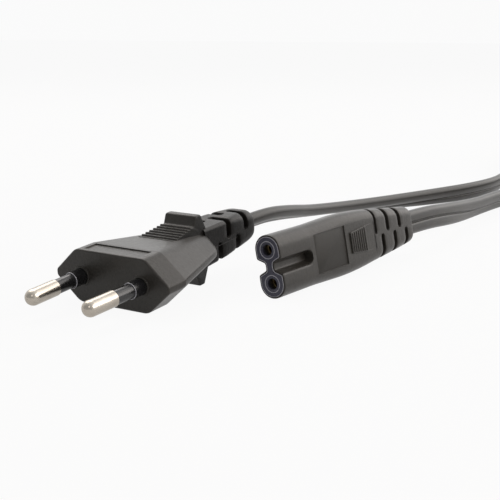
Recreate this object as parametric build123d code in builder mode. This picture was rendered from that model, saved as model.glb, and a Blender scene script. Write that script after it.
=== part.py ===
from build123d import *
from math import atan2, cos, degrees, radians, sin, tan
import os

# Plug face and moulding: a flat hexagon, 35 mm across its blunt side edges
face_half_width = 17.65
face_half_height = 6.85
face_crown_half = 10.8
face_corner = 2.2
face_round = 0.45
edge_half = 0.8
prism_length = 6.6
waist_station = 20.0
waist_half_width = 13.5
waist_half_height = 6.1
waist_crown_half = 5.0
waist_corner = 15.0
tail_station = 33.5
tail_half_width = 9.2
tail_half_height = 4.2
tail_crown_half = 3.4
tail_corner = 8.0
tail_plan_round = 4.5

# Label field on the top of the plug, left bare
plug_label_front = 1.2
plug_label_rear = 5.7
plug_label_half = 8.8
label_depth = 0.3

# Finger grips, one on top and one underneath
grip_half_width = 5.0
grip_foot = 19.2
grip_foot_height = 5.7
grip_step_start = 27.9
grip_step_height = 6.9
grip_rib_count = 6
grip_peak_start = 28.9
grip_peak_end = 31.0
grip_peak_height = 9.5
grip_peak_round = 0.5

# Plug strain relief: a square-shouldered block that becomes round towards the flex
relief_start = 31.5
relief_end = 58.0
relief_start_half = (5.6, 5.3)
relief_start_corner = 0.9
relief_end_half = (4.8, 4.2)
relief_end_corner = 3.6
relief_end_round = 1.8
relief_slot_first = 38.6
relief_slot_pitch = 4.3
relief_slot_count = 4
relief_slot_width = 1.7
relief_core_half = (4.1, 2.45)
relief_core_corner = 0.8

# Pins, sleeves and the carrier that holds them
pin_radius = 2.0
pin_length = 19.0
pin_bare_length = 9.3
pin_root_spacing = 18.6
pin_tip_spacing = 17.5
shank_radius = 1.45
shank_depth = 11.0
crimp_radius = 1.7
plug_crimp_end = 17.0
sleeve_radius = 1.8
sleeve_seat = 3.0
collar_radius = 2.05
collar_length = 3.9
carrier_front = 1.6
carrier_rear = 8.6
carrier_half_width = 12.6
carrier_half_height = 3.4
carrier_corner = 1.2

# Flat twin flex
core_radius = 1.85
core_offset = 1.8
web_half = 0.9
flex_flat = 0
flex_upright = 90
lead_radius = 1.1
lead_run = 6.0
plug_flex_end = 38.0
connector_flex_end = 45.0

# Connector: figure-eight nose, then a rounded bar that narrows into its strain relief
hole_spacing = 8.6
lobe_radius = 3.82
lobe_corner_gap = 0.04
nose_length = 14.6
belly_station = 31.0
belly_half_height = 8.45
belly_corner = 3.3
shoulder_station = 44.0
shoulder_half_height = 7.8
shoulder_corner = 3.3
connector_end = 69.0
connector_end_half = (3.4, 5.2)
connector_end_corner = 3.1
connector_end_round = 1.0

# Grooves along both sides of the nose
groove_end = 14.0
groove_mouth_half = 1.95
groove_floor_half = 0.95
groove_web_half = 1.3

# Bare label field and small ribbed grip on both sides of the connector
connector_label_front = 15.4
connector_label_rear = 30.4
connector_label_half = 5.3
pad_front = 32.6
pad_rear = 40.6
pad_front_half = 2.9
pad_rear_half = 3.6
pad_height = 0.45
pad_rib_count = 7
pad_rib_pitch = 1.05
pad_rib_width = 0.45
pad_rib_height = 0.25

# Connector strain relief slots, above and below in turn
upper_slot_first = 46.8
lower_slot_first = 50.3
connector_slot_pitch = 7.0
connector_slot_count = 3
connector_slot_width = 1.7
slot_start_height = 0.3
connector_core_half = (2.45, 4.15)
connector_core_corner = 0.8

# Insert and contacts
insert_rim = 0.5
insert_web_half = 0.85
insert_notch_gap = 0.5
insert_depth = 15.0
socket_radius = 1.45
contact_radius = 1.6
contact_bore = 1.2
contact_slit = 0.5
contact_front = 2.4
contact_rear = 13.0
contact_clearance = 0.05
connector_crimp_end = 21.0
connector_crimp_radius = 1.4

# Where the two mouldings lie on the table, from the middle of the plug and connector together
plug_face_x = -39.68
plug_face_y = 8.45
connector_face_x = -10.43
connector_face_y = -18.25
connector_yaw = -3.4
connector_lean = 10.8

# Route of the flex on the table, from the point below the plug's face to the hank
plug_route = [
    (98.0, 3.4, 9.4),
    (124.0, 3.6, 6.4),
    (150.0, 0.8, 4.7),
    (176.0, -4.2, 4.1),
    (201.0, -10.8, 3.9),
    (224.0, -13.4, 3.9),
    (248.0, -9.8, 4.0),
    (272.0, -1.8, 4.2),
    (296.0, 8.0, 4.3),
    (316.0, 13.2, 4.35),
    (338.0, 15.1, 4.35),
]
connector_route = [
    (133.0, -31.6, 6.8),
    (157.0, -29.4, 4.8),
    (181.0, -28.6, 4.3),
    (207.0, -29.6, 4.0),
    (233.0, -32.4, 4.6),
    (260.0, -36.4, 6.8),
    (286.0, -40.4, 9.8),
    (308.0, -42.6, 11.5),
    (334.0, -43.1, 11.85),
]
plug_straight = 74.0
connector_straight = 81.0
bend_share = 0.45

# Hank of the rest of the flex, wound on edge in two layers, and its ties
hank_centre = (361.5, -14.0)
hank_run = 55.0
hank_inner_radius = 19.2
hank_outer_radius = 31.1
hank_layer_height = 7.5
hank_layers = 2
hank_round = 2.8
tie_thickness = 0.6
tie_width = 7.0


def lean_low(half_height, half_thickness, corner):
    """How far a leaning rounded bar reaches below its own middle."""
    lean = radians(connector_lean)
    return (half_height - corner) * cos(lean) + (half_thickness - corner) * sin(lean) + corner


lobe_corner = lobe_radius - lobe_corner_gap
nose_half_height = hole_spacing / 2 + lobe_radius
nose_low = lean_low(nose_half_height, lobe_radius, lobe_corner)
belly_low = lean_low(belly_half_height, lobe_radius, belly_corner)
plug_pitch = degrees(atan2(grip_peak_height - face_half_height, grip_peak_start))
connector_pitch = degrees(atan2(belly_low - nose_low, belly_station))

# The plug lies on the lower edge of its face and on its grip, the connector on its nose and belly
plug_height = face_half_height * cos(radians(plug_pitch))
connector_height = nose_low * cos(radians(connector_pitch))
plug = Plane((plug_face_x, plug_face_y, plug_height)).rotated((0, -plug_pitch, 0))
connector_heading = Location((connector_face_x, connector_face_y, connector_height), (0, 0, connector_yaw))
connector = Plane(connector_heading * Rotation(0, -connector_pitch, 0) * Rotation(-connector_lean, 0, 0))


def across(base, station):
    """Cross-section of a moulding at a distance behind its face: x is its width, y its height."""
    return Plane(base.from_local_coords((station, 0, 0)), x_dir=base.y_dir, z_dir=base.x_dir)


def lengthwise(base, offset):
    """Side view of a moulding at an offset to its left: x runs back from the face, y is its height."""
    return Plane(base.from_local_coords((0, offset, 0)), x_dir=base.x_dir, z_dir=-base.y_dir)


def level(base, height):
    """View of a moulding from above at a height: x runs back from the face."""
    return Plane(base.from_local_coords((0, 0, height)), x_dir=base.x_dir, z_dir=base.z_dir)


def bend_radii(points):
    """Largest arc that each corner of a route has room for."""
    radii = []
    for before, corner, after in zip(points, points[1:], points[2:]):
        turn = radians((corner - before).get_angle(after - corner))
        run = min((corner - before).length, (after - corner).length)
        radii.append(bend_share * run / tan(turn / 2))
    return radii


def finish(piece, name):
    """Label a piece and write it."""
    piece.part.label = name
    export_step(piece.part, f"parts/{name}.step")


def flex_section(turn):
    """Two round cores in line with a web between them, turned from lying flat."""
    with PolarLocations(core_offset, 2, start_angle=turn):
        Circle(core_radius)
    Rectangle(2 * core_offset, 2 * web_half, rotation=turn)


def insert_outline():
    """Section of the hard insert, one rim inside the nose and its grooves."""
    inner_radius = lobe_radius - insert_rim
    RectangleRounded(2 * inner_radius, 2 * (nose_half_height - insert_rim), lobe_corner - insert_rim)
    floor_half = groove_floor_half + insert_notch_gap
    mouth_half = groove_mouth_half + insert_notch_gap
    for side in (1, -1):
        Polygon(
            (side * insert_web_half, floor_half),
            (side * insert_web_half, -floor_half),
            (side * lobe_radius, -mouth_half),
            (side * lobe_radius, mouth_half),
            align=None,
            mode=Mode.SUBTRACT,
        )


def pin_plane(side):
    """Axis of a pin: x runs back along the pin from the face."""
    root = Vector(0, side * pin_root_spacing / 2, 0)
    tip = Vector(-pin_length, side * pin_tip_spacing / 2, 0)
    back = plug.from_local_coords(root) - plug.from_local_coords(tip)
    return Plane(plug.from_local_coords(root), x_dir=back, z_dir=plug.z_dir)


os.makedirs("parts", exist_ok=True)
sides = {"left": 1, "right": -1}

# Pins: domed bare tip, thinner shank under the sleeve, crimp barrel inside the moulding
pins = {}
for name, side in sides.items():
    with BuildPart() as pin:
        with BuildSketch(pin_plane(side)):
            with BuildLine():
                dome_start = pin_radius - pin_length
                bare_end = pin_bare_length - pin_length
                outline = Polyline(
                    (dome_start, pin_radius),
                    (bare_end, pin_radius),
                    (bare_end, shank_radius),
                    (shank_depth, shank_radius),
                    (shank_depth, crimp_radius),
                    (plug_crimp_end, crimp_radius),
                    (plug_crimp_end, 0),
                    (-pin_length, 0),
                )
                RadiusArc(outline @ 1, outline @ 0, pin_radius)
            make_face()
        revolve(axis=Axis(pin_plane(side).origin, pin_plane(side).x_dir))
    pins[name] = pin
    finish(pin, f"pin_{name}")

# Sleeves on the roots of the pins, seated in the carrier
sleeves = {}
for name, side in sides.items():
    with BuildPart() as sleeve:
        with BuildSketch(across(pin_plane(side), pin_bare_length - pin_length)):
            Circle(sleeve_radius)
            Circle(shank_radius, mode=Mode.SUBTRACT)
        extrude(amount=pin_length - pin_bare_length + sleeve_seat)
    sleeves[name] = sleeve
    finish(sleeve, f"sleeve_{name}")

# Carrier: a bar inside the plug with a collar round each pin that stands out of the face
with BuildPart() as carrier:
    with BuildSketch(across(plug, carrier_front)):
        RectangleRounded(2 * carrier_half_width, 2 * carrier_half_height, carrier_corner)
    extrude(amount=carrier_rear - carrier_front)
    for side in sides.values():
        with BuildSketch(across(pin_plane(side), -collar_length)):
            Circle(collar_radius)
        extrude(amount=collar_length + carrier_rear / 2)
    for name in sides:
        add(pins[name].part, mode=Mode.SUBTRACT)
        add(sleeves[name].part, mode=Mode.SUBTRACT)
finish(carrier, "plug_carrier")

# Insulated cores from the crimp barrels to the flex inside the plug
plug_leads = {}
for name, side in sides.items():
    crimp = pin_plane(side).from_local_coords((plug_crimp_end, 0, 0))
    bend = pin_plane(side).from_local_coords((plug_crimp_end + lead_run, 0, 0))
    join = plug.from_local_coords((plug_flex_end - lead_run, side * core_offset, 0))
    points = [crimp, bend, join, plug.from_local_coords((plug_flex_end, side * core_offset, 0))]
    with BuildPart() as lead:
        with BuildLine() as path:
            FilletPolyline(points, radius=bend_radii(points))
        with BuildSketch(Plane(path.line @ 0, z_dir=path.line % 0)):
            Circle(lead_radius)
        sweep(path=path.line)
    plug_leads[name] = lead
    finish(lead, f"plug_lead_{name}")

# Plug moulding
with BuildPart() as plug_body:
    body_sections = [
        (0, face_half_width, face_half_height, face_crown_half, face_corner),
        (prism_length, face_half_width, face_half_height, face_crown_half, face_corner),
        (waist_station, waist_half_width, waist_half_height, waist_crown_half, waist_corner),
        (tail_station, tail_half_width, tail_half_height, tail_crown_half, tail_corner),
    ]
    for station, half_width, half_height, crown_half, corner in body_sections:
        with BuildSketch(across(plug, station)) as section:
            Polygon(
                (crown_half, half_height),
                (-crown_half, half_height),
                (-half_width, edge_half),
                (-half_width, -edge_half),
                (-crown_half, -half_height),
                (crown_half, -half_height),
                (half_width, -edge_half),
                (half_width, edge_half),
                align=None,
            )
            crown = section.vertices().group_by(Axis.Y)
            fillet(crown[0] + crown[-1], corner)
    loft(ruled=True)
    with BuildSketch(level(plug, 0)) as plan:
        Polygon(
            (0, face_half_width),
            (0, -face_half_width),
            (prism_length, -face_half_width),
            (tail_station, -tail_half_width),
            (tail_station, tail_half_width),
            (prism_length, face_half_width),
            align=None,
        )
        fillet(plan.vertices().group_by(Axis.X)[-1], tail_plan_round)
    extrude(amount=face_half_height, both=True, mode=Mode.INTERSECT)
    fillet(plug_body.faces().sort_by(Axis(plug.origin, plug.x_dir))[0].edges(), face_round)
    with BuildSketch(level(plug, face_half_height - label_depth)):
        with Locations(((plug_label_front + plug_label_rear) / 2, 0)):
            Rectangle(plug_label_rear - plug_label_front, 2 * plug_label_half)
    extrude(amount=face_half_height, mode=Mode.SUBTRACT)
    rib_run = (grip_step_start - grip_foot) / grip_rib_count
    rib_rise = (grip_step_height - grip_foot_height) / grip_rib_count
    for up in (1, -1):
        steps = [(grip_foot, 0)]
        for rib in range(grip_rib_count):
            tread = grip_foot_height + (rib + 1) * rib_rise
            steps.append((grip_foot + rib * rib_run, up * tread))
            steps.append((grip_foot + (rib + 1) * rib_run, up * tread))
        with BuildSketch(lengthwise(plug, 0)) as grip:
            with BuildLine():
                Polyline(
                    *steps,
                    (grip_peak_start, up * grip_peak_height),
                    (grip_peak_end, up * grip_peak_height),
                    (tail_station, up * tail_half_height),
                    (tail_station, 0),
                    close=True,
                )
            make_face()
            fillet(grip.vertices().group_by(Axis.Y)[-1 if up > 0 else 0], grip_peak_round)
        extrude(amount=grip_half_width, both=True)
    with BuildSketch(across(plug, relief_start)):
        RectangleRounded(2 * relief_start_half[0], 2 * relief_start_half[1], relief_start_corner)
    with BuildSketch(across(plug, relief_end)):
        RectangleRounded(2 * relief_end_half[0], 2 * relief_end_half[1], relief_end_corner)
    loft(ruled=True)
    fillet(plug_body.faces().sort_by(Axis(plug.origin, plug.x_dir))[-1].edges(), relief_end_round)
    for slot in range(relief_slot_count):
        turned = 1 if slot % 2 else -1
        for side in sides.values():
            with BuildSketch(across(plug, relief_slot_first + slot * relief_slot_pitch)):
                reach = 2 * relief_start_half[0]
                with Locations((side * reach / 2, -side * turned * reach / 2)):
                    Rectangle(reach, reach)
                RectangleRounded(
                    2 * relief_core_half[0],
                    2 * relief_core_half[1],
                    relief_core_corner,
                    mode=Mode.SUBTRACT,
                )
            extrude(amount=relief_slot_width, mode=Mode.SUBTRACT)
    with BuildSketch(across(plug, plug_flex_end)):
        flex_section(flex_flat)
    extrude(amount=relief_end, mode=Mode.SUBTRACT)
    add(carrier.part, mode=Mode.SUBTRACT)
    for name in sides:
        add(pins[name].part, mode=Mode.SUBTRACT)
        add(sleeves[name].part, mode=Mode.SUBTRACT)
        add(plug_leads[name].part, mode=Mode.SUBTRACT)
finish(plug_body, "plug_body")

# Contacts: rolled sleeve with a slit, then a crimp barrel
levels = {"upper": 1, "lower": -1}
slit_reach = 2 * (contact_radius - contact_bore) + contact_slit
contacts = {}
for name, side in levels.items():
    with BuildPart() as contact:
        with BuildSketch(across(connector, contact_front)):
            with Locations((0, side * hole_spacing / 2)):
                Circle(contact_radius)
                Circle(contact_bore, mode=Mode.SUBTRACT)
            with Locations((0, side * (hole_spacing / 2 + contact_radius))):
                Rectangle(contact_slit, slit_reach, mode=Mode.SUBTRACT)
        extrude(amount=contact_rear - contact_front)
        with BuildSketch(across(connector, contact_rear)):
            with Locations((0, side * hole_spacing / 2)):
                Circle(connector_crimp_radius)
        extrude(amount=connector_crimp_end - contact_rear)
    contacts[name] = contact
    finish(contact, f"contact_{name}")

# Insert: hard figure eight with a socket in each lobe
with BuildPart() as insert:
    with BuildSketch(across(connector, 0)):
        insert_outline()
    extrude(amount=insert_depth)
    with BuildSketch(across(connector, 0)):
        with Locations((0, hole_spacing / 2), (0, -hole_spacing / 2)):
            Circle(socket_radius)
    extrude(amount=contact_front, mode=Mode.SUBTRACT)
    with BuildSketch(across(connector, contact_front)):
        with Locations((0, hole_spacing / 2), (0, -hole_spacing / 2)):
            Circle(contact_radius + contact_clearance)
    extrude(amount=contact_rear - contact_front, mode=Mode.SUBTRACT)
    with BuildSketch(across(connector, contact_rear)):
        with Locations((0, hole_spacing / 2), (0, -hole_spacing / 2)):
            Circle(connector_crimp_radius)
    extrude(amount=insert_depth - contact_rear, mode=Mode.SUBTRACT)
finish(insert, "connector_insert")

# Insulated cores from the contacts to the flex inside the connector
connector_leads = {}
for name, side in levels.items():
    local_points = [
        (connector_crimp_end, 0, side * hole_spacing / 2),
        (connector_crimp_end + lead_run, 0, side * hole_spacing / 2),
        (connector_flex_end - lead_run, 0, side * core_offset),
        (connector_flex_end, 0, side * core_offset),
    ]
    points = [connector.from_local_coords(point) for point in local_points]
    with BuildPart() as lead:
        with BuildLine() as path:
            FilletPolyline(points, radius=bend_radii(points))
        with BuildSketch(Plane(path.line @ 0, z_dir=path.line % 0)):
            Circle(lead_radius)
        sweep(path=path.line)
    connector_leads[name] = lead
    finish(lead, f"connector_lead_{name}")

# Connector moulding
with BuildPart() as connector_body:
    bar_sections = [
        (0, lobe_radius, nose_half_height, lobe_corner),
        (nose_length, lobe_radius, nose_half_height, lobe_corner),
        (belly_station, lobe_radius, belly_half_height, belly_corner),
        (shoulder_station, lobe_radius, shoulder_half_height, shoulder_corner),
        (connector_end, *connector_end_half, connector_end_corner),
    ]
    for station, half_thickness, half_height, corner in bar_sections:
        with BuildSketch(across(connector, station)):
            RectangleRounded(2 * half_thickness, 2 * half_height, corner)
    loft(ruled=True)
    back_face = connector_body.faces().sort_by(Axis(connector.origin, connector.x_dir))[-1]
    fillet(back_face.edges(), connector_end_round)
    for side in sides.values():
        for depth, half in ((groove_web_half, groove_floor_half), (lobe_radius, groove_mouth_half)):
            with BuildSketch(lengthwise(connector, side * depth)):
                with Locations((groove_end - half, 0)):
                    Circle(half)
                with Locations(((groove_end - half) / 2, 0)):
                    Rectangle(groove_end - half, 2 * half)
        loft(ruled=True, mode=Mode.SUBTRACT)
        with BuildSketch(lengthwise(connector, side * lobe_radius)):
            with Locations(((connector_label_front + connector_label_rear) / 2, 0)):
                Rectangle(connector_label_rear - connector_label_front, 2 * connector_label_half)
        extrude(amount=side * label_depth, mode=Mode.SUBTRACT)
        with BuildSketch(lengthwise(connector, side * lobe_radius)):
            Polygon(
                (pad_front, pad_front_half),
                (pad_front, -pad_front_half),
                (pad_rear, -pad_rear_half),
                (pad_rear, pad_rear_half),
                align=None,
            )
        extrude(amount=-side * pad_height)
        with BuildSketch(lengthwise(connector, side * (lobe_radius + pad_height))):
            with Locations(((pad_front + pad_rear) / 2, 0)):
                with GridLocations(pad_rib_pitch, 0, pad_rib_count, 1):
                    Rectangle(pad_rib_width, 2 * pad_front_half)
        extrude(amount=-side * pad_rib_height)
    for first, up in ((upper_slot_first, 1), (lower_slot_first, -1)):
        for slot in range(connector_slot_count):
            with BuildSketch(across(connector, first + slot * connector_slot_pitch)):
                with Locations((0, up * (slot_start_height + belly_half_height / 2))):
                    Rectangle(2 * belly_half_height, belly_half_height)
                RectangleRounded(
                    2 * connector_core_half[0],
                    2 * connector_core_half[1],
                    connector_core_corner,
                    mode=Mode.SUBTRACT,
                )
            extrude(amount=connector_slot_width, mode=Mode.SUBTRACT)
    with BuildSketch(across(connector, 0)):
        insert_outline()
    extrude(amount=insert_depth, mode=Mode.SUBTRACT)
    with BuildSketch(across(connector, connector_flex_end)):
        flex_section(flex_upright)
    extrude(amount=connector_end, mode=Mode.SUBTRACT)
    for name in levels:
        add(contacts[name].part, mode=Mode.SUBTRACT)
        add(connector_leads[name].part, mode=Mode.SUBTRACT)
finish(connector_body, "connector_body")

# Hank of the spare length, lying on its ties
hank_height = hank_layers * hank_layer_height
hank_width = hank_outer_radius - hank_inner_radius
hank_middle = Vector(plug_face_x + hank_centre[0], plug_face_y + hank_centre[1], 0)
with BuildPart() as hank:
    with BuildSketch(Plane(hank_middle).offset(tie_thickness)):
        SlotCenterToCenter(hank_run, 2 * hank_outer_radius)
        SlotCenterToCenter(hank_run, 2 * hank_inner_radius, mode=Mode.SUBTRACT)
    extrude(amount=hank_height)
    flat_faces = hank.faces().group_by(Axis.Z)
    fillet(flat_faces[0].edges() + flat_faces[-1].edges(), hank_round)
finish(hank, "cord_hank")

# Ties: a strip round each run of the hank
for name, side in sides.items():
    run_middle = Vector(
        hank_middle.X - tie_width / 2,
        hank_middle.Y + side * (hank_outer_radius - hank_width / 2),
        tie_thickness + hank_height / 2,
    )
    with BuildPart() as tie:
        with BuildSketch(Plane(run_middle, x_dir=(0, 1, 0), z_dir=(1, 0, 0))):
            RectangleRounded(
                hank_width + 2 * tie_thickness,
                hank_height + 2 * tie_thickness,
                hank_round + tie_thickness,
            )
            RectangleRounded(hank_width, hank_height, hank_round, mode=Mode.SUBTRACT)
        extrude(amount=tie_width)
    finish(tie, f"cord_tie_{name}")

# Flex from each moulding to the hank
stretches = {
    "plug_cord": (plug, plug_flex_end, plug_straight, flex_flat, plug_route),
    "connector_cord": (connector, connector_flex_end, connector_straight, flex_upright, connector_route),
}
for name, (base, flex_end, straight, turn, route) in stretches.items():
    points = [base.from_local_coords((flex_end, 0, 0)), base.from_local_coords((straight, 0, 0))]
    points += [Vector(plug_face_x + x, plug_face_y + y, z) for x, y, z in route]
    radii = bend_radii(points)
    with BuildPart() as flex:
        with BuildLine() as path:
            FilletPolyline(points, radius=radii)
        with BuildSketch(across(base, flex_end)) as section:
            flex_section(turn)
        sweep(path=path.line)
        swept = flex.part.volume
        add(hank.part, mode=Mode.SUBTRACT)
    print(name, "bend radii", [round(radius) for radius in radii])
    print(name, "length", round(path.wire().length))
    print(name, "volume over section", round(swept / section.sketch.area))
    finish(flex, name)
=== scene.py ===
import bmesh
import bpy
from math import asin, atan2, cos, pi, radians, sin, tan
from mathutils import Matrix, Vector


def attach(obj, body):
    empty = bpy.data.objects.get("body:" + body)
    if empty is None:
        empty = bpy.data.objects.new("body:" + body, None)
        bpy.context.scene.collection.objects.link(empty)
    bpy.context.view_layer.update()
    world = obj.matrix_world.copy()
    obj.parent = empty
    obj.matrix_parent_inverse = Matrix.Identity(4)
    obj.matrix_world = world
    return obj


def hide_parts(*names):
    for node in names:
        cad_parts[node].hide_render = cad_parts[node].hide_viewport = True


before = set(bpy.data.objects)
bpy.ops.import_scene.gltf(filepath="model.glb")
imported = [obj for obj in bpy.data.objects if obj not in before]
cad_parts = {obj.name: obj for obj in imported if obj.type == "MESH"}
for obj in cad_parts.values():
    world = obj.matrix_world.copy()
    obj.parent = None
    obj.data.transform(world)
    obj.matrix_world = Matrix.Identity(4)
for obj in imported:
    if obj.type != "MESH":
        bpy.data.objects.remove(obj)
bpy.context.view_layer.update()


# Pins: two round brass pins, nickel plated and polished, turned to a domed tip.
# Each is crimped to a core of the flex and held by the carrier inside the plug.
class Level:
    """A shader socket that takes part in sums; each operation adds a Math node."""

    def __init__(self, nodes, output):
        self.nodes = nodes
        self.output = output

    def math(self, operation, first, second=0.0):
        return self.nodes.add("ShaderNodeMath", {"operation": operation}, {0: first, 1: second})

    def __add__(self, other):
        return self.math("ADD", self, other)

    def __sub__(self, other):
        return self.math("SUBTRACT", self, other)

    def __rsub__(self, other):
        return self.math("SUBTRACT", other, self)

    def __mul__(self, other):
        return self.math("MULTIPLY", self, other)

    def __abs__(self):
        return self.math("ABSOLUTE", self)

    __radd__ = __add__
    __rmul__ = __mul__


class Nodes:
    """A node tree whose nodes are added by type, settings and inputs."""

    def __init__(self, tree):
        self.tree = tree

    def set(self, node, inputs):
        for socket, value in inputs.items():
            if isinstance(value, Level):
                self.tree.links.new(value.output, node.inputs[socket])
            else:
                node.inputs[socket].default_value = value

    def add(self, kind, settings=None, inputs=None, output=0):
        node = self.tree.nodes.new(kind)
        for name, value in (settings or {}).items():
            if name == "stops":
                ramp = node.color_ramp
                while len(ramp.elements) < len(value):
                    ramp.elements.new(0.5)
                for element, (position, colour) in zip(ramp.elements, value):
                    element.position = position
                    element.color = (*colour, 1)
            else:
                setattr(node, name, value)
        self.set(node, inputs or {})
        return Level(self, node.outputs[output])

    def place(self):
        return self.add("ShaderNodeTexCoord", output="Object")

    def noise(self, scale, detail=3.0, roughness=0.5):
        inputs = {"Vector": self.place(), "Scale": scale, "Detail": detail, "Roughness": roughness}
        return self.add("ShaderNodeTexNoise", {}, inputs)

    def along(self, vector, direction):
        """How far a vector reaches along a direction."""
        inputs = {0: vector, 1: direction}
        return self.add("ShaderNodeVectorMath", {"operation": "DOT_PRODUCT"}, inputs, "Value")

    def distance(self, start, direction):
        """Millimetres from a point along a direction."""
        return (self.along(self.place(), direction) - start.dot(direction)) * 1000.0

    def between(self, value, start, end, low=0.0, high=1.0):
        """From low to high while a value goes from start to end."""
        inputs = {"Value": value, "From Min": start, "From Max": end, "To Min": low, "To Max": high}
        return self.add("ShaderNodeMapRange", {}, inputs)

    def ray(self, kind):
        """1 for rays of one kind, 0 for all others."""
        return self.add("ShaderNodeLightPath", output=f"Is {kind} Ray")

    def ramp(self, factor, *stops):
        return self.add("ShaderNodeValToRGB", {"stops": stops}, {"Fac": factor})

    def shades(self, factor, dark, light):
        """From a dark to a light colour over the range in which a noise mostly lies."""
        low, high = 0.3, 0.7
        return self.ramp(factor, (low, dark), (high, light))

    def mix(self, factor, first, second):
        return self.add("ShaderNodeMix", {"data_type": "RGBA"}, {0: factor, 6: first, 7: second}, 2)

    def bump(self, height, strength, distance):
        inputs = {"Height": height, "Strength": strength, "Distance": distance}
        return self.add("ShaderNodeBump", {}, inputs)


class Finish(Nodes):
    """A material with one Principled shader."""

    def __init__(self, name, **constants):
        self.material = bpy.data.materials.new(name)
        self.material.use_nodes = True
        super().__init__(self.material.node_tree)
        self.shader = self.tree.nodes["Principled BSDF"]
        self.set(self.shader, {name.replace("_", " "): value for name, value in constants.items()})

    def wear(self, nodes):
        for name in nodes:
            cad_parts[name].data.materials.clear()
            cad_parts[name].data.materials.append(self.material)


nickel = Finish("nickel_plate", Metallic=1.0)
cloud = nickel.noise(260.0, 3.0)
scuff = nickel.noise(2600.0, 5.0, 0.6)
nickel.set(
    nickel.shader,
    {
        "Base Color": nickel.shades(cloud, (0.50, 0.455, 0.395), (0.58, 0.535, 0.47)),
        "Roughness": 0.18 + scuff * 0.12,
        "Normal": nickel.bump(scuff, 0.05, 0.00002),
    },
)
nickel.wear(["pin_left", "pin_right"])


# Sleeves and collars: the insulated roots of the pins, smooth black nylon.
# The collars belong to the carrier that the plug is moulded round.
nylon = Finish("black_nylon", Specular_IOR_Level=0.75)
haze = nylon.noise(1400.0, 4.0)
nylon.set(
    nylon.shader,
    {
        "Base Color": nylon.shades(haze, (0.006, 0.006, 0.007), (0.011, 0.011, 0.012)),
        "Roughness": 0.16 + haze * 0.12,
        "Normal": nylon.bump(haze, 0.05, 0.00004),
    },
)
nylon.wear(["sleeve_left", "sleeve_right", "plug_carrier"])


# Plug moulding: soft dark grey PVC injected round the carrier, with a fine spark-eroded grain.
# A flat hexagon at the face becomes a wing, with a finger grip above and below and a slotted relief behind.
plug_face = Vector((-0.03968, 0.00845, 0.00682138))
plug_back = Vector((0.995822, 0.0, 0.091312))
plug_left = Vector((0.0, 1.0, 0.0))
plug_up = Vector((-0.091312, 0.0, 0.995822))


def smooth(value, start, end):
    """0 before start, 1 after end, with an easy curve between."""
    share = min(max((value - start) / (end - start), 0.0), 1.0)
    return share * share * (3 - 2 * share)


def sizes_at(table, station):
    """Sizes of a moulding at a station, from rows of a station and its sizes."""
    for (start, *first), (end, *second) in zip(table, table[1:]):
        if station <= end:
            share = (station - start) / (end - start)
            return [a + (b - a) * share for a, b in zip(first, second)]
    return table[-1][1:]


least_radius = 0.04


def rounded(corners, radii, shares, inset=0.0, steps=5):
    """Closed outline round a convex polygon: at each corner an arc, then points along the next edge."""
    arcs = []
    for index, corner in enumerate(corners):
        here = Vector(corner)
        back = (Vector(corners[index - 1]) - here).normalized()
        on = (Vector(corners[(index + 1) % len(corners)]) - here).normalized()
        half = back.angle(on) / 2
        inward = (back + on).normalized()
        radius = max(radii[index] - inset, least_radius)
        centre = here + inward * (inset + radius) / sin(half)
        first = here + inward * inset / sin(half) + back * radius / tan(half) - centre
        last = here + inward * inset / sin(half) + on * radius / tan(half) - centre
        sweep = first.angle(last)
        arc = []
        for step in range(steps + 1):
            turn = step / steps * sweep
            rest = (1 - step / steps) * sweep
            arc.append(centre + (first * sin(rest) + last * sin(turn)) / sin(sweep))
        arcs.append(arc)
    outline = []
    for index, arc in enumerate(arcs):
        outline += arc
        outline += [arc[-1].lerp(arcs[(index + 1) % len(arcs)][0], share) for share in shares[index]]
    return outline


def tube_faces(rows, count, start=0):
    """Faces between neighbouring rings with the same count of points."""
    faces = []
    for row in range(rows - 1):
        here = start + row * count
        for step in range(count):
            after = (step + 1) % count
            faces.append((here + step, here + after, here + count + after, here + count + step))
    return faces


def put(name, data):
    """A new object in the scene."""
    piece = bpy.data.objects.new(name, data)
    bpy.context.scene.collection.objects.link(piece)
    return piece


sharp_edge = radians(38)


class Moulding:
    """Rings of points (back, left, up) in millimetres from a face, skinned into one mesh."""

    def __init__(self, face, back, left, up):
        self.axes = face, back, left, up
        self.vertices = []
        self.faces = []

    def skin(self, rings, front=True, rear=True):
        face, back, left, up = self.axes
        start = len(self.vertices)
        count = len(rings[0])
        for ring in rings:
            for s, y, z in ring:
                self.vertices.append(face + 0.001 * (s * back + y * left + z * up))
        self.faces += tube_faces(len(rings), count, start)
        if front:
            self.faces.append(tuple(start + step for step in reversed(range(count))))
        if rear:
            end = start + (len(rings) - 1) * count
            self.faces.append(tuple(end + step for step in range(count)))

    def build(self, name, finish):
        mesh = bpy.data.meshes.new(name)
        mesh.from_pydata(self.vertices, [], self.faces)
        shape = bmesh.new()
        shape.from_mesh(mesh)
        bmesh.ops.recalc_face_normals(shape, faces=shape.faces)
        shape.to_mesh(mesh)
        shape.free()
        mesh.shade_smooth()
        mesh.set_sharp_from_angle(angle=sharp_edge)
        mesh.materials.append(finish.material)
        return put(name, mesh)


def circle(station, y, z, radius, turns):
    """Points round a middle, all at one station."""
    return [(station, y + radius * cos(turn), z + radius * sin(turn)) for turn in turns]


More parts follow.
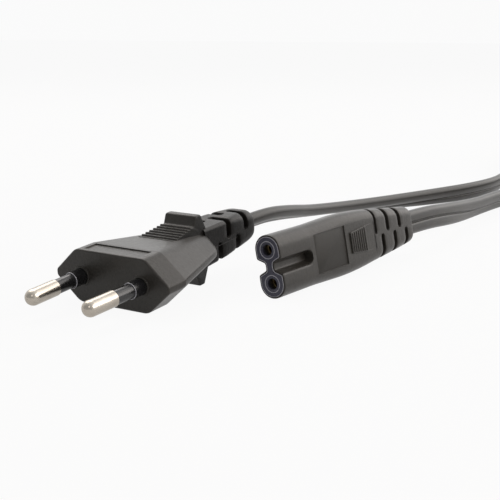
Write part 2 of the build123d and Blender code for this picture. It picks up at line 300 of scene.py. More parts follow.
# Painted shade: the strain relief and the back of the grips get a darker base colour, and so do
# the flanks behind the wing that face sideways; both also get a thinner coat than the frosted wing.
relief_painted_shade = (0.011, 0.0098, 0.0082, 1)
flank_painted_shade = (0.004, 0.0038, 0.0036, 1)
pvc = Finish("moulded_pvc", Specular_IOR_Level=0.26, Coat_IOR=1.25, Coat_Roughness=0.28)
grain = pvc.noise(3400.0, 3.0, 0.6) + pvc.noise(1300.0, 2.0) * 1.8
blotch = pvc.noise(140.0, 4.0, 0.6)
grit = pvc.noise(900.0, 3.0, 0.65)
frosted = pvc.shades(blotch, (0.0215, 0.0190, 0.0155), (0.0285, 0.0253, 0.0208))
behind_face = pvc.distance(plug_face, plug_back)
off_middle = abs(pvc.distance(plug_face, plug_left))
near_middle = pvc.between(off_middle, 7.0, 6.0)
# Painted shade on the strain relief and the back of the grips; this mask also thins the coat.
relief_shade_and_thin_coat = pvc.between(behind_face, 28.6, 32.0) * near_middle
# Painted shade on the flanks behind the wing that face sideways; this mask also thins the coat.
sideways = abs(pvc.along(pvc.add("ShaderNodeTexCoord", output="Normal"), plug_left))
behind_wing = pvc.between(behind_face, 17.0, 19.0)
flank_shade_and_thin_coat = pvc.between(sideways, 0.75, 0.92) * near_middle * behind_wing
# Frosted colour, darkened by painted shade on the relief and behind the grips.
frosted_with_relief_shade = pvc.mix(relief_shade_and_thin_coat, frosted, relief_painted_shade)
pvc.set(
    pvc.shader,
    {
        "Base Color": pvc.mix(flank_shade_and_thin_coat * 0.8, frosted_with_relief_shade, flank_painted_shade),
        "Roughness": 0.32 + blotch * 0.08 + grain * 0.06,
        "Coat Weight": (1.0 - relief_shade_and_thin_coat * 0.6) * (1.0 - flank_shade_and_thin_coat * 0.7) * (1.2 - grit * 0.65),
        "Normal": pvc.bump(grain, 0.45, 0.00010),
    },
)

# Rows of the wing: station, half width, half height, half width of the crown, round of its corners.
plug = Moulding(plug_face, plug_back, plug_left, plug_up)
hexagon = [
    (0.0, 17.65, 6.85, 10.8, 3.4),
    (6.6, 17.65, 6.85, 10.8, 3.4),
    (20.0, 13.44, 5.6, 7.8, 6.0),
    (33.5, 9.2, 4.2, 4.4, 6.0),
]
edge_half, edge_round = 0.8, 1.2
front_round, front_inset = 0.45, 0.1
rear_round = 0.8
plan_centre, plan_round = 4.06, 7.0
tail_end = 33.5
tail_start = tail_end - 0.7 * plan_round
least_slope = 0.7
corner_share = 0.8
field_front, field_rear, field_half, field_depth = 1.2, 5.7, 8.8, 0.3
wall = 0.08
flatness = 0.01
crown_shares = [0.008, 0.0327, 0.0371, 0.0414, 0.0495, 0.2, 0.35, 0.5]
crown_shares += [0.65, 0.8, 0.9505, 0.9586, 0.9629, 0.9673, 0.992]
panel_shares = [0.03, 0.25, 0.5, 0.75, 0.97]
band_shares = [0.5]
wing_shares = [crown_shares, panel_shares, band_shares, panel_shares] * 2


def wing_ring(station, inset=0.0):
    """Outline of the wing at a station, with the field sunk into its crown."""
    width, height, crown, corner = sizes_at(hexagon, station)
    if station > tail_start:
        over = station - tail_end + plan_round
        width = plan_centre + max(plan_round**2 - over**2, 0.0) ** 0.5
    drop = max(station - (tail_end - rear_round), 0.0) / rear_round
    height -= rear_round * (1 - max(1 - drop * drop, 0.0) ** 0.5)
    crown = min(crown, width - least_slope)
    panel = Vector((width - crown, height - edge_half))
    corner = min(corner, corner_share * panel.length / tan(atan2(panel.y, panel.x) / 2))
    corners = [
        (crown, height),
        (-crown, height),
        (-width, edge_half),
        (-width, -edge_half),
        (-crown, -height),
        (crown, -height),
        (width, -edge_half),
        (width, edge_half),
    ]
    radii = [corner, corner, edge_round, edge_round] * 2
    in_field = field_front + wall / 2 < station < field_rear - wall / 2
    ring = []
    for y, z in rounded(corners, radii, wing_shares, inset):
        if in_field and abs(y) < field_half - wall / 2 and z > height - flatness:
            z -= field_depth
        ring.append((station, y, z))
    return ring


wing = [wing_ring(0.0, front_round + front_inset)]
for turn in (0, 30, 60, 90):
    angle = radians(turn)
    wing.append(wing_ring(front_round * (1 - cos(angle)), front_round * (1 - sin(angle))))
stations = [0.55, field_front - 0.1, field_front, field_front + wall, 2.4, 3.8]
stations += [field_rear - wall, field_rear, 5.8, 6.4, 6.6, 6.8, 7.6, 9.0, 11.0, 13.0, 15.0, 17.0]
stations += [19.0, 20.0, 21.0, 23.0, 25.0, 27.0, 28.6, 29.6, 30.4]
stations += [31.0, 31.7, 32.3, 32.75, 33.1, 33.3, 33.42, 33.5]
wing += [wing_ring(station) for station in stations]
plug.skin(wing)

# Finger grips, with soft ribs on the ramp and a smooth thumb face above them.
rib_front, rib_rear, rib_count, rib_rise, rib_foot = 17.7, 27.6, 7, 0.195, 5.54
rib_run = (rib_rear - rib_front) / rib_count
grip_middle, grip_half_run = 28.5, 10.5
grip_foot, grip_rise = 4.0, 5.5
flare, flare_end, flare_full = 0.14, 27.0, 18.0
tooth = [(0.0, 0.0), (0.03, 0.08), (0.14, 0.35), (0.18, 0.385), (0.23, 0.39), (1.3, 0.17), (1.35, 0.13)]
profile = [(rib_front, 0.0)]
for rib in range(rib_count):
    for along, above in tooth:
        profile.append((rib_front + rib * rib_run + along, rib_foot + rib * rib_rise + above))
profile += [(27.7, 6.92), (27.86, 7.02), (28.04, 7.26), (28.8, 9.1), (28.94, 9.36), (29.2, 9.48)]
profile += [(29.5, 9.5), (30.5, 9.5), (30.8, 9.48), (31.02, 9.36), (31.15, 9.1), (33.5, 4.2), (33.5, 0.0)]
edges = [(5.0, 0.5), (4.96, 0.3), (4.86, 0.14), (4.7, 0.04), (4.5, 0.0)]
edges = [(-y, shrink) for y, shrink in edges] + edges[::-1]
for up in (1, -1):
    rings = []
    for y, shrink in edges:
        ring = []
        for s, z in profile:
            station = s + (grip_middle - s) * shrink / grip_half_run
            wide = y * (1 + flare * smooth(s, flare_end, flare_full))
            ring.append((station, wide, up * (z - (z - grip_foot) * shrink / grip_rise)))
        rings.append(ring)
    plug.skin(rings)

# Strain relief, cut by slots that open two opposite quarters in turn.
# Its rows: station, half width, half height, round of the corners.
relief = [
    (31.5, 5.6, 5.3, 0.9),
    (42.0, 5.35, 5.05, 1.2),
    (50.0, 5.1, 4.9, 2.6),
    (54.0, 4.95, 4.65, 3.1),
    (57.6, 4.65, 4.1, 3.5),
]
relief_core = (3.9, 2.3, 1.2)
relief_end, relief_round = 57.6, 2.2
relief_lift, lift_start, lift_end = 0.2, 36.0, 50.0
slot_first, slot_pitch, slot_width, slot_count = 37.35, 4.38, 2.2, 4
slot_reaches = ((1, 0.5), (-1, 1.3))
slot_side_fade = 0.35
slot_below, slot_above = 0.1, 0.25
slot_lip = ((0.12, 0.02), (0.03, 0.07), (0.0, 0.15))
slot_draw = 0.6
slot_margin = 0.2
end_inset = 0.2
side_shares = [0.04, 0.1, 0.16, 0.22, 0.28]
side_shares += [0.32 + 0.02 * step for step in range(19)]
side_shares += [0.72, 0.78, 0.84, 0.9, 0.96]
corner_steps = 8


def block(wide, high, corner, inset=0.0):
    """Outline of a block with rounded corners."""
    corners = [(wide, high), (-wide, high), (-wide, -high), (wide, -high)]
    return rounded(corners, [corner] * 4, [side_shares] * 4, inset, corner_steps)


def relief_ring(station, inset=0.0, turned=0, depth=0.0, narrow=0.0):
    """Outline of the strain relief at a station, drawn in to its core where a slot is cut."""
    outer = block(*sizes_at(relief, station), inset)
    rise = relief_lift * smooth(station, lift_start, lift_end)
    ring = []
    for (y, z), (core_y, core_z) in zip(outer, block(*relief_core)):
        share = 0.0
        for side, reach in slot_reaches:
            start = narrow - reach
            across = smooth(side * y, start, start + slot_side_fade)
            upright = smooth(-side * turned * z, narrow - slot_below, narrow + slot_above)
            share = max(share, across * upright)
        share *= depth
        ring.append((station, y + (core_y - y) * share, z + (core_z - z) * share + rise * (1 - share)))
    return ring


def slot_cuts(width):
    """Places across a slot with round ends: distance, depth share and how far the end draws back."""
    cuts = [(-before, depth, slot_draw) for before, depth in slot_lip]
    for share in (0.03, 0.1, 0.25, 0.5, 0.75, 0.9, 0.97):
        cuts.append((share * width, 1.0, width / 2 * (1 - (1 - (2 * share - 1) ** 2) ** 0.5)))
    return cuts + [(width + after, depth, slot_draw) for after, depth in reversed(slot_lip)]


def slot_rings(ring_at, start, width, turned):
    """Rings across a slot of a strain relief, with an uncut ring before and after it."""
    rings = [ring_at(start - slot_margin)]
    for along, depth, narrow in slot_cuts(width):
        rings.append(ring_at(start + along, 0.0, turned, depth, narrow))
    return rings + [ring_at(start + width + slot_margin)]


def end_rings(ring_at, end, radius):
    """Rings that round off the end of a strain relief."""
    rings = []
    for turn in (0, 18, 36, 54, 72, 90):
        angle = radians(turn)
        rings.append(ring_at(end - radius + radius * sin(angle), radius * (1 - cos(angle))))
    return rings + [ring_at(end, radius + end_inset)]


rings = [relief_ring(station) for station in (31.5, 33.6, 36.0)]
for slot in range(slot_count):
    rings += slot_rings(relief_ring, slot_first + slot * slot_pitch, slot_width, 1 if slot % 2 else -1)
rings.append(relief_ring(54.2))
rings += end_rings(relief_ring, relief_end, relief_round)
plug.skin(rings)

# Parting line of the mould along both sides of the relief.
parting_height, parting_radius = -0.7, 0.1
oval_turns = [radians(turn) for turn in range(0, 360, 45)]
for side in (1, -1):
    rings = []
    for station, thick in ((33.0, 0.6), (34.0, 1.0), (41.0, 1.0), (45.5, 0.8), (47.0, 0.2)):
        half_width = sizes_at(relief, station)[0]
        ring = []
        for turn in oval_turns:
            y = side * (half_width + parting_radius * thick * sin(turn))
            ring.append((station, y, parting_height + parting_radius * thick * cos(turn)))
        rings.append(ring)
    plug.skin(rings)

# Raised lip of the moulding round each collar, where the pins leave the face.
pin_offset = 9.3
collar_lip = [(2.0, -0.2), (2.0, 0.16), (2.1, 0.24), (2.3, 0.26), (2.45, 0.2), (2.52, 0.06), (2.54, -0.2)]
collar_turns = [radians(turn) for turn in range(0, 360, 8)]
for side in (1, -1):
    rings = [circle(-height, pin_offset * side, 0.0, radius, collar_turns) for radius, height in collar_lip]
    plug.skin(rings, front=False, rear=False)
plug_piece = plug.build("plug_moulding", pvc)
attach(plug_piece, "root")
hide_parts("plug_body")


# Collar beads: a thin rim round the mouth of each nylon collar, where the sleeve goes in.
# They are moulded with the collars, and their pale grey colour is a painted highlight on the edge.
beads = Moulding(plug_face, plug_back, plug_left, plug_up)
bead_radius, bead_thick, bead_station = 1.94, 0.12, -3.9
pin_lean, pin_length = 0.55, 19
around = [radians(turn) for turn in range(0, 360, 10)]
for side in (1, -1):
    rings = []
    for turn in range(0, 361, 45):
        radius = bead_radius + bead_thick * cos(radians(turn))
        station = bead_station + bead_thick * sin(radians(turn))
        offset = side * (pin_offset + station * pin_lean / pin_length)
        rings.append(circle(station, offset, 0.0, radius, around))
    beads.skin(rings, front=False, rear=False)
# Pale grey colour that stands for painted highlights, on the beads and on the insert lines.
painted_highlight = Finish("painted_highlight_edge", Specular_IOR_Level=0.6)
highlight_noise = painted_highlight.noise(1800.0, 3.0)
painted_highlight.set(
    painted_highlight.shader,
    {
        "Base Color": painted_highlight.shades(highlight_noise, (0.36, 0.36, 0.395), (0.5, 0.5, 0.545)),
        "Roughness": 0.25 + highlight_noise * 0.15,
    },
)
bead_piece = beads.build("collar_beads", painted_highlight)
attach(bead_piece, "root")


# Contacts and cores: rolled brass sleeves behind the sockets, and the insulated cores of the flex.
# They are crimped and hidden inside the mouldings, apart from a glimpse of the contacts.
brass = Finish("contact_brass", Metallic=1.0)
tarnish = brass.noise(1500.0, 4.0)
brass.set(
    brass.shader,
    {
        "Base Color": brass.shades(tarnish, (0.50, 0.37, 0.16), (0.76, 0.60, 0.30)),
        "Roughness": 0.25 + tarnish * 0.2,
    },
)
brass.wear(["contact_upper", "contact_lower"])

core_skin = Finish("core_insulation", Specular_IOR_Level=0.4)
mottle = core_skin.noise(900.0, 3.0)
core_skin.set(
    core_skin.shader,
    {
        "Base Color": core_skin.shades(mottle, (0.07, 0.045, 0.03), (0.09, 0.06, 0.04)),
        "Roughness": 0.35 + mottle * 0.1,
    },
)
core_skin.wear(["plug_lead_left", "plug_lead_right", "connector_lead_upper", "connector_lead_lower"])


# Insert: hard bluish black moulding in the connector's nose, with a socket in each lobe.
# It holds the contacts, and the softer moulding is injected round it.
connector_face = Vector((-0.01043, -0.01825, 0.00804993))
connector_back = Vector((0.998154, -0.059301, 0.013083))
connector_left = Vector((0.060703, 0.980413, -0.187365))
connector_up = Vector((-0.001715, 0.187814, 0.982203))
hard = Finish("hard_insert", Specular_IOR_Level=0.45)
speck = hard.noise(3800.0, 3.0)
# Painted shade: the base colour goes to near black deeper into the sockets.
into_socket = hard.distance(connector_face, connector_back) * 0.5
socket_painted_shade = hard.ramp(into_socket, (0.1, (0, 0, 0)), (0.6, (1, 1, 1)))
clean = hard.shades(speck, (0.046, 0.047, 0.068), (0.070, 0.071, 0.098))
hard.set(
    hard.shader,
    {
        "Base Color": hard.mix(socket_painted_shade, clean, (0.015, 0.014, 0.014, 1)),
        "Roughness": 0.40 + speck * 0.15,
        "Normal": hard.bump(speck, 0.10, 0.00005),
    },
)
hard.wear(["connector_insert"])


# Connector moulding: the same PVC injected round the insert and the flex, with a figure-eight nose,
# a groove along each side, a bare label field, a ribbed pad and a slotted relief.
# Its rows: station, half thickness, half height, round of the corners.
connector = Moulding(connector_face, connector_back, connector_left, connector_up)
bar = [
    (0.0, 3.82, 8.12, 3.78),
    (14.6, 3.82, 8.12, 3.78),
    (17.0, 3.82, 8.14, 3.70),
    (21.0, 3.82, 8.24, 3.55),
    (26.0, 3.82, 8.38, 3.40),
    (29.0, 3.82, 8.44, 3.32),
    (31.0, 3.82, 8.45, 3.30),
    (34.0, 3.82, 8.41, 3.30),
    (38.0, 3.82, 8.24, 3.30),
    (42.0, 3.82, 7.98, 3.30),
    (46.0, 3.81, 7.62, 3.30),
    (52.0, 3.76, 7.13, 3.30),
    (60.0, 3.61, 6.35, 3.25),
    (69.0, 3.40, 5.45, 3.10),
]
bar_core = (2.3, 4.0, 1.2)
bar_end, bar_end_round = 69.0, 1.0
groove_end, groove_mouth, groove_floor, groove_web = 14.0, 1.95, 0.95, 1.3
groove_soft, groove_least = 0.55, 0.05
panel_front, panel_rear, panel_half, panel_depth = 15.4, 30.4, 5.3, 0.3
bar_slot_pitch, bar_slot_width, bar_slot_count = 7.1, 1.8, 3
bar_slot_firsts = ((45.5, 1), (49.2, -1))
bar_slot_near, bar_slot_far = 0.1, 0.45
rear_drop, drop_start, drop_end = 0.4, 44.0, 66.0
flank = [0.2, 0.4, 0.6, 0.8, 0.95, 1.1, 1.3, 1.5, 1.65, 1.8, 1.95, 2.1, 2.25, 2.45, 2.7]
flank += [3.0, 3.4, 4.0, 4.6, 5.1, 5.22, 5.3, 5.4]
flank = [-height for height in reversed(flank)] + [0.0] + flank
flank_full = 8.0
cap_steps = 18
arc_steps = 24


def bar_half_thickness(height, half_thickness, half_height, corner):
    """Half thickness of a rounded bar at a height."""
    over = abs(height) - (half_height - corner)
    if over <= 0:
        return half_thickness
    return half_thickness - corner + max(corner * corner - over * over, 0.0) ** 0.5


def bar_outline(half_thickness, half_height, corner, scale):
    """Rounded bar as a loop: up the left flank, over the top, down the right flank and back under."""
    heights = [height * scale for height in flank]
    left = []
    for height in heights:
        left.append((bar_half_thickness(height, half_thickness, half_height, corner), height))
    over = [Vector(left[-1])]
    if heights[-1] < half_height - corner:
        over.append(Vector((half_thickness, half_height - corner)))
    begin = max((heights[-1] - half_height + corner) / corner, 0.0)
    first = asin(min(begin, 1.0))
    for step in range(1, arc_steps + 1):
        turn = first + (pi / 2 - first) * step / arc_steps
        y = half_thickness - corner + corner * cos(turn)
        over.append(Vector((y, half_height - corner + corner * sin(turn))))
    over += [Vector((-point.x, point.y)) for point in reversed(over)]
    run = [0.0]
    for before, after in zip(over, over[1:]):
        run.append(run[-1] + (after - before).length)
    top = []
    for step in range(1, cap_steps):
        goal = run[-1] * step / cap_steps
        index = max(i for i in range(len(run) - 1) if run[i] <= goal)
        share = (goal - run[index]) / max(run[index + 1] - run[index], 1e-9)
        top.append(tuple(over[index].lerp(over[index + 1], share)))
    right = [(-y, z) for y, z in reversed(left)]
    bottom = [(y, -z) for y, z in reversed(top)]
    return left + top + right + bottom


def groove_half(station, half):
    """Half width of the groove, which has a round end."""
    if station <= groove_end - half:
        return half
    return max(half**2 - (station - groove_end + half) ** 2, 0.0) ** 0.5


def bar_ring(station, inset=0.0, slot=0, depth=0.0, narrow=0.0):
    """Outline of the connector at a station, with its groove, label field and slots."""
    half_thickness, half_height, corner = sizes_at(bar, station)
    scale = min(half_height / flank_full, 1.0)
    outline = bar_outline(half_thickness, half_height, corner, scale)
    core = bar_outline(*bar_core, bar_core[1] / flank_full)
    mouth = groove_half(station, groove_mouth)
    floor = groove_half(station, groove_floor)
    deepest = half_thickness - groove_web
    on_panel = panel_front + wall / 2 < station < panel_rear - wall / 2
    points = []
    for (y, z), (core_y, core_z) in zip(outline, core):
        side = 1 if y > 0 else -1
        if mouth > groove_least:
            slope = (mouth - abs(z)) * deepest / max(mouth - floor, groove_least)
            soft = groove_soft * min(mouth / groove_mouth, 1.0)
            cut = (slope + (slope * slope + soft * soft) ** 0.5) / 2
            y -= side * (cut + deepest - ((cut - deepest) ** 2 + soft * soft) ** 0.5) / 2
        if on_panel and abs(z) < panel_half - wall / 2:
            y = side * min(abs(y), half_thickness - panel_depth)
        share = 0.0
        if slot:
            share = depth * smooth(slot * z, narrow + bar_slot_near, narrow + bar_slot_far)
        points.append(Vector((y + (core_y - y) * share, z + (core_z - z) * share)))
    ring = []
    for index, point in enumerate(points):
        ahead = points[(index + 1) % len(points)] - points[index - 1]
        inward = Vector((-ahead.y, ahead.x)).normalized()
        y, z = point + inset * inward
        ring.append((station, y, z - rear_drop * smooth(station, drop_start, drop_end)))
    return ring


def nose_ring(station, inset):
    """Outline of the nose, drawn in by an inset, at a station near the face."""
    return [(station, y, z) for s, y, z in bar_ring(0.0, inset)]


# Rim of the nose: a narrow gap beside the insert, then a front edge that is rounded outside.
rim_depth, rim_hidden, rim_inside = 0.35, 0.9, 0.36
rim_front, rim_edge, rim_round = 0.06, 0.34, 0.22
rings = [nose_ring(rim_depth, rim_hidden), nose_ring(rim_depth, rim_inside), nose_ring(rim_front, rim_edge)]
for turn in (0, 45, 90):
    angle = radians(turn)
    rings.append(nose_ring(rim_front + rim_round * (1 - cos(angle)), rim_round * (1 - sin(angle))))
stations = [0.5, 3.0, 6.0, 9.0, 11.0, 11.6, 12.05, 12.4, 12.7, 13.0, 13.25, 13.5, 13.7, 13.85, 13.95]
stations += [14.0, 14.1, 14.6, 15.3, panel_front, panel_front + wall, 17.0, 19.0, 21.0, 23.5, 26.0, 29.0]
stations += [panel_rear - wall, panel_rear, 30.5, 31.0, 32.5, 34.0, 36.0, 38.0, 40.0, 42.0, 44.0, 46.0]
rings += [bar_ring(station) for station in stations]
slot_starts = []
for first, side in bar_slot_firsts:
    slot_starts += [(first + bar_slot_pitch * slot, side) for slot in range(bar_slot_count)]
for start, side in sorted(slot_starts):
    rings += slot_rings(bar_ring, start, bar_slot_width, side)
rings += end_rings(bar_ring, bar_end, bar_end_round)
connector.skin(rings, front=False)

# Ribbed pads on both flanks, and the two fine lines that run back from each.
pad_front, pad_front_half, pad_rear, pad_rear_half = 32.6, 2.9, 40.6, 3.6
pad_length, pad_widening, pad_round = 8.0, 0.7, 0.3
pad_shares = [[0.1, 0.5, 0.9]] * 4
pad_steps = 3
pad_rows = ((3.5, 0.0), (4.12, 0.0), (4.22, 0.04), (4.27, 0.14), (4.27, 0.3))
pad_middle, pad_pitch, pad_margin = 36.6, 1.05, 0.25
bump_count, bump_height, bump_radius = 7, 4.24, 0.27
bump_ends = ((0.0, 0.35), (0.08, 0.8), (0.25, 1.0))
bump_turns = [radians(turn) for turn in range(0, 360, 36)]
trail_start, trail_height, trail_spread = 40.5, 3.5, 0.02
trail_flank, trail_wide, trail_thick = 3.82, 0.12, 0.11
for side in (1, -1):
    corners = [(pad_front, pad_front_half), (pad_front, -pad_front_half)]
    corners += [(pad_rear, -pad_rear_half), (pad_rear, pad_rear_half)]
    rings = []
    for height, inset in pad_rows:
        outline = rounded(corners, [pad_round] * 4, pad_shares, inset, pad_steps)
        rings.append([(s, side * height, z) for s, z in outline])
    connector.skin(rings, front=False)
    for rib in range(bump_count):
        middle = pad_middle + (rib - bump_count // 2) * pad_pitch
        reach = pad_front_half + pad_widening * (middle - pad_front) / pad_length - pad_margin
        rows = [(-reach + inside, thick) for inside, thick in bump_ends]
        rows += [(reach - inside, thick) for inside, thick in reversed(bump_ends)]
        rings = []
        for z, thick in rows:
            ring = []
            for turn in bump_turns:
                s = middle + bump_radius * thick * cos(turn)
                ring.append((s, side * (bump_height + bump_radius * thick * sin(turn)), z))
            rings.append(ring)
        connector.skin(rings)
    for edge in (1, -1):
        rings = []
        for s, thick in ((40.5, 1.0), (42.5, 1.0), (43.6, 0.6), (44.0, 0.2)):
            ring = []
            for turn in oval_turns:
                y = trail_flank + trail_thick * thick * sin(turn)
                z = trail_height + trail_wide * thick * cos(turn) + trail_spread * (s - trail_start)
                ring.append((s, side * y, edge * z))
            rings.append(ring)
        connector.skin(rings)
connector_piece = connector.build("connector_moulding", pvc)
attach(connector_piece, "root")
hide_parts("connector_body")


# Label fields: the bare floors of the recesses in the connector's flanks.
# They are the same PVC, with the matt texture of an eroded mould.
matt = Finish("matt_field", Specular_IOR_Level=0.2, Coat_Weight=0.35, Coat_IOR=1.2, Coat_Roughness=0.4)
pitting = matt.noise(2200.0, 4.0, 0.7)
matt.set(
    matt.shader,
    {
        "Base Color": matt.shades(pitting, (0.018, 0.0165, 0.014), (0.030, 0.0275, 0.0235)),
        "Roughness": 0.40 + pitting * 0.15,
        "Normal": matt.bump(pitting, 0.45, 0.0001),
    },
)
fields = Moulding(connector_face, connector_back, connector_left, connector_up)
label_gap = 0.2
for side in (1, -1):
    front, rear, half = panel_front + label_gap, panel_rear - label_gap, panel_half - label_gap
    corners = [(front, half), (front, -half), (rear, -half), (rear, half)]
    rings = []
    for height, inset in ((3.4, 0.0), (3.53, 0.0), (3.56, 0.06)):
        outline = rounded(corners, [pad_round] * 4, pad_shares, inset, pad_steps)
        rings.append([(s, side * height, z) for s, z in outline])
    fields.skin(rings)
field_piece = fields.build("label_fields", matt)
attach(field_piece, "root")


# Insert lines: fine raised lines on the insert's face, one inside its edge and one round each socket.
# They are moulded with the insert, and their pale grey is the same painted highlight as on the beads.
lines = Moulding(connector_face, connector_back, connector_left, connector_up)
socket_offset = 4.3
edge_line = [(0.46, -0.1), (0.46, 0.03), (0.5, 0.07), (0.56, 0.07), (0.6, 0.03), (0.6, -0.1)]
socket_line = [(2.1, -0.1), (2.1, 0.04), (2.15, 0.08), (2.22, 0.08), (2.27, 0.04), (2.27, -0.1)]
rings = [nose_ring(-height, inset) for inset, height in edge_line]
lines.skin(rings, front=False, rear=False)
for middle in (socket_offset, -socket_offset):
    rings = [circle(-height, 0.0, middle, radius, around) for radius, height in socket_line]
    lines.skin(rings, front=False, rear=False)
line_piece = lines.build("insert_lines", painted_highlight)
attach(line_piece, "root")


# Flex: flat twin flex in smooth dark grey PVC, extruded with a groove between its two cores.
# It runs from the plug to a long hank, wound on edge in two layers, and back to the connector.
route_start = Vector((plug_face.x, plug_face.y, 0.0))
plug_route = [
    (0.082, 0.0013, 0.0115),
    (0.098, 0.0033, 0.0093),
    (0.124, 0.0036, 0.0070),
    (0.150, 0.0006, 0.0052),
    (0.176, -0.0050, 0.0041),
    (0.201, -0.0122, 0.0039),
    (0.224, -0.0142, 0.0039),
    (0.248, -0.0102, 0.0040),
    (0.272, -0.0018, 0.0042),
    (0.296, 0.0080, 0.0043),
    (0.316, 0.0136, 0.00435),
]
connector_route = [
    (0.133, -0.0316, 0.0068),
    (0.157, -0.0294, 0.0048),
    (0.181, -0.0286, 0.0043),
    (0.207, -0.0296, 0.0040),
    (0.233, -0.0324, 0.0046),
    (0.260, -0.0364, 0.0068),
    (0.286, -0.0404, 0.0098),
    (0.308, -0.0428, 0.0115),
]
hank_start = Vector((0.334, -0.014, 0.0))
hank_run = 0.055
hank_outer = 0.0291
hank_lane = 0.00395
hank_laps = 4
hank_low = 0.00435
hank_high = 0.01185
hank_open = 5
climb_start, climb_laps = 1.88, 0.25
plug_tail, plug_exit = 0.053, 0.066
connector_exit, connector_tail, connector_drop = 0.081, 0.064, 0.0004
lap_points = [(0.0, 90), (0.5, 90)]
lap_points += [(1.0, angle) for angle in range(90, -90, -30)]
lap_points += [(1.0, -90), (0.5, -90)]
lap_points += [(0.0, angle) for angle in range(-90, -270, -30)]

control = [plug_face + plug_tail * plug_back, plug_face + plug_exit * plug_back]
control += [route_start + Vector(point) for point in plug_route]
for step in range(hank_laps * len(lap_points) - hank_open):
    along, angle = lap_points[step % len(lap_points)]
    lap = step / len(lap_points)
    radius = hank_outer - hank_lane * (hank_laps / 2 - abs(lap - hank_laps / 2))
    climb = smooth((lap - climb_start) / climb_laps, 0.0, 1.0)
    height = hank_low + (hank_high - hank_low) * climb
    x = along * hank_run + radius * cos(radians(angle))
    control.append(route_start + hank_start + Vector((x, radius * sin(radians(angle)), height)))
control += [route_start + Vector(point) for point in reversed(connector_route)]
for distance in (connector_exit, connector_tail):
    control.append(connector_face + distance * connector_back - connector_drop * connector_up)

line = bpy.data.curves.new("flex_line", "CURVE")
line.dimensions = "3D"
spline = line.splines.new("NURBS")
spline.points.add(len(control) - 1)
for point, place in zip(spline.points, control):
    point.co = (*place, 1)
spline.order_u = 3
spline.use_endpoint_u = True
spline.resolution_u = 8
line_object = put("flex_line", line)
bpy.context.view_layer.update()
line_mesh = bpy.data.meshes.new_from_object(line_object)
flex_path = [vertex.co.copy() for vertex in line_mesh.vertices]
bpy.data.objects.remove(line_object)
bpy.data.meshes.remove(line_mesh)

core_radius = 0.00185
core_offset = 0.0018
core_steps = 16
groove = [(0.0010, 0.00184), (0.00055, 0.00178), (0.00033, 0.00158), (0.00015, 0.0012), (0.0, 0.0011)]
groove += [(-across, through) for across, through in groove[-2::-1]]
section = []
for side in (1, -1):
    for step in range(core_steps + 1):
        angle = radians(-90 + 180 * step / core_steps)
        across = core_offset + core_radius * cos(angle)
        section.append((side * across, side * core_radius * sin(angle)))
    section += [(side * across, side * through) for across, through in groove]

# Twist of the flex: degrees at the plug, then turns between two distances from the plug or the connector.
roll_at_plug = -32
turns_from_plug = [(20, 0.0, 0.05), (-53, 0.06, 0.16), (-25, 0.17, 0.25)]
turns_to_connector = [(-22, 0.21, 0.14), (32.8, 0.075, 0.03)]
run = [0.0]
for before, after in zip(flex_path, flex_path[1:]):
    run.append(run[-1] + (after - before).length)
vertices = []
for index, place in enumerate(flex_path):
    ahead = flex_path[min(index + 1, len(flex_path) - 1)] - flex_path[max(index - 1, 0)]
    ahead.normalize()
    left = Vector((0, 0, 1)).cross(ahead).normalized()
    over = ahead.cross(left)
    roll = roll_at_plug
    for degrees, start, end in turns_from_plug:
        roll += degrees * smooth(run[index], start, end)
    for degrees, start, end in turns_to_connector:
        roll += degrees * smooth(run[-1] - run[index], start, end)
    roll = radians(roll)
    wide = cos(roll) * left + sin(roll) * over
    thin = cos(roll) * over - sin(roll) * left
    for across, through in section:
        vertices.append(place + across * wide + through * thin)
count = len(section)
faces = tube_faces(len(flex_path), count)
faces.append(tuple(reversed(range(count))))
faces.append(tuple(range((len(flex_path) - 1) * count, len(flex_path) * count)))
flex_mesh = bpy.data.meshes.new("twin_flex")
flex_mesh.from_pydata(vertices, [], faces)
flex_mesh.shade_smooth()
flex = put("twin_flex", flex_mesh)

sheath = Finish("flex_sheath", Specular_IOR_Level=0.35, Coat_Weight=0.5, Coat_IOR=1.22, Coat_Roughness=0.28)
ripple = sheath.noise(420.0, 3.0)
fine = sheath.noise(4200.0, 2.0)
sheath.set(
    sheath.shader,
    {
        "Base Color": sheath.shades(ripple, (0.024, 0.0225, 0.0195), (0.032, 0.030, 0.026)),
        "Roughness": 0.30 + fine * 0.10,
        "Normal": sheath.bump(fine + ripple, 0.06, 0.00006),
    },
)
flex_mesh.materials.append(sheath.material)
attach(flex, "root")
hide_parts("plug_cord", "connector_cord", "cord_hank")


# Ties: a strip of thin black plastic round each run of the hank.
# Each is closed round the laps and holds them together.
tie_finish = Finish("tie_strip", Specular_IOR_Level=0.4)
crease = tie_finish.noise(800.0, 3.0)
tie_finish.set(
    tie_finish.shader,
    {
        "Base Color": tie_finish.shades(crease, (0.012, 0.012, 0.012), (0.020, 0.020, 0.020)),
        "Roughness": 0.35 + crease * 0.15,
        "Normal": tie_finish.bump(crease, 0.1, 0.0001),
    },
)
tie_finish.wear(["cord_tie_left", "cord_tie_right"])


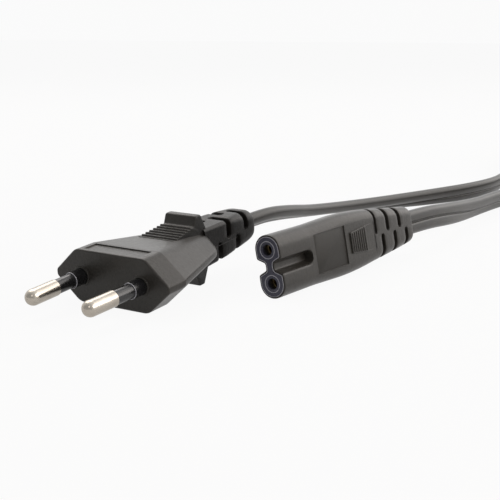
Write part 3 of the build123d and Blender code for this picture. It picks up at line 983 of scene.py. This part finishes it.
# Table: a white sweep under white light, which keeps the soft shadow of the cord.
# It only stages the picture, and for the camera it is nearly as bright as the surroundings.
table_half = 6
table_glow, reflected_glow = 0.93, 0.5
floor_mesh = bpy.data.meshes.new("table")
floor_corners = [(x * table_half, y * table_half, 0) for x, y in ((-1, -1), (1, -1), (1, 1), (-1, 1))]
floor_mesh.from_pydata(floor_corners, [], [(0, 1, 2, 3)])
floor = put("table", floor_mesh)
paper = Finish("white_sweep", Roughness=0.9, Specular_IOR_Level=0.1)
paper.shader.inputs["Base Color"].default_value = (0.6, 0.6, 0.6, 1)
mirrored = paper.ray("Glossy") + paper.ray("Transmission")
seen = paper.ray("Camera") + mirrored * reflected_glow
glow = paper.add("ShaderNodeEmission", {}, {"Color": (1, 1, 1, 1), "Strength": 1.0})
sheet = Level(paper, paper.shader.outputs[0])
blend = paper.add("ShaderNodeMixShader", {}, {0: seen * table_glow, 1: sheet, 2: glow})
paper.set(paper.tree.nodes["Material Output"], {"Surface": blend})
floor_mesh.materials.append(paper.material)


# Surroundings: white for the camera, and dimmer in reflections of what lies ahead of the pins.
# Four softboxes light the table from the sides, from above and from the front.
ambient, backdrop = 0.34, 0.62
ahead_dim, behind_bright = 0.45, 0.95
scene = bpy.context.scene
world = bpy.data.worlds.new("studio")
world.use_nodes = True
scene.world = world
sky = Nodes(world.node_tree)
eye = sky.ray("Camera")
mirror = sky.ray("Glossy") + sky.ray("Transmission")
direction = sky.add("ShaderNodeTexCoord", output="Generated")
heading = sky.add("ShaderNodeSeparateXYZ", {}, {"Vector": direction})
reflected = sky.between(heading, -0.7, 0.1, ahead_dim, behind_bright)
strength = ambient + eye * backdrop + mirror * (reflected - ambient)
sky.set(sky.tree.nodes["Background"], {"Color": (1, 1, 1, 1), "Strength": strength})

# Each softbox: place, size and radiance.
lamp_shade = (1.0, 0.935, 0.89)
softboxes = {
    "key_softbox": ((0.78, -0.42, 0.58), (1.0, 0.8), 1.1),
    "side_softbox": ((0.25, -0.85, 0.55), (0.9, 0.6), 2.7),
    "top_softbox": ((0.25, 0.5, 0.8), (0.8, 0.7), 2.2),
    "front_softbox": ((-0.75, -0.35, 0.55), (0.22, 0.22), 2.4),
}
for name, (spot, size, radiance) in softboxes.items():
    lamp_data = bpy.data.lights.new(name, "AREA")
    lamp_data.shape = "RECTANGLE"
    lamp_data.size, lamp_data.size_y = size
    lamp_data.energy = radiance * pi * size[0] * size[1]
    lamp_data.color = lamp_shade
    lamp = put(name, lamp_data)
    lamp.location = spot
    lamp.rotation_euler = (-lamp.location).to_track_quat("-Z", "Y").to_euler()


# Camera: low over the table, looking 12 degrees down from in front of the plug's right corner.
# Its place, direction and lens give the view of the photograph.
forward = Vector((0.81650513, 0.53766117, -0.21033268))
up = Vector((0.17477823, 0.11702522, 0.97762859))
right = forward.cross(up)
camera_data = bpy.data.cameras.new("camera")
camera_data.sensor_width = 36.0
camera_data.lens = 72.91
camera_data.clip_start = 0.01
camera_data.clip_end = 50.0
camera = put("camera", camera_data)
place = route_start + Vector((-0.178695, -0.157723, 0.065283))
camera.matrix_world = Matrix.Translation(place) @ Matrix((right, up, -forward)).transposed().to_4x4()
scene.camera = camera
scene.view_settings.view_transform = "Standard"
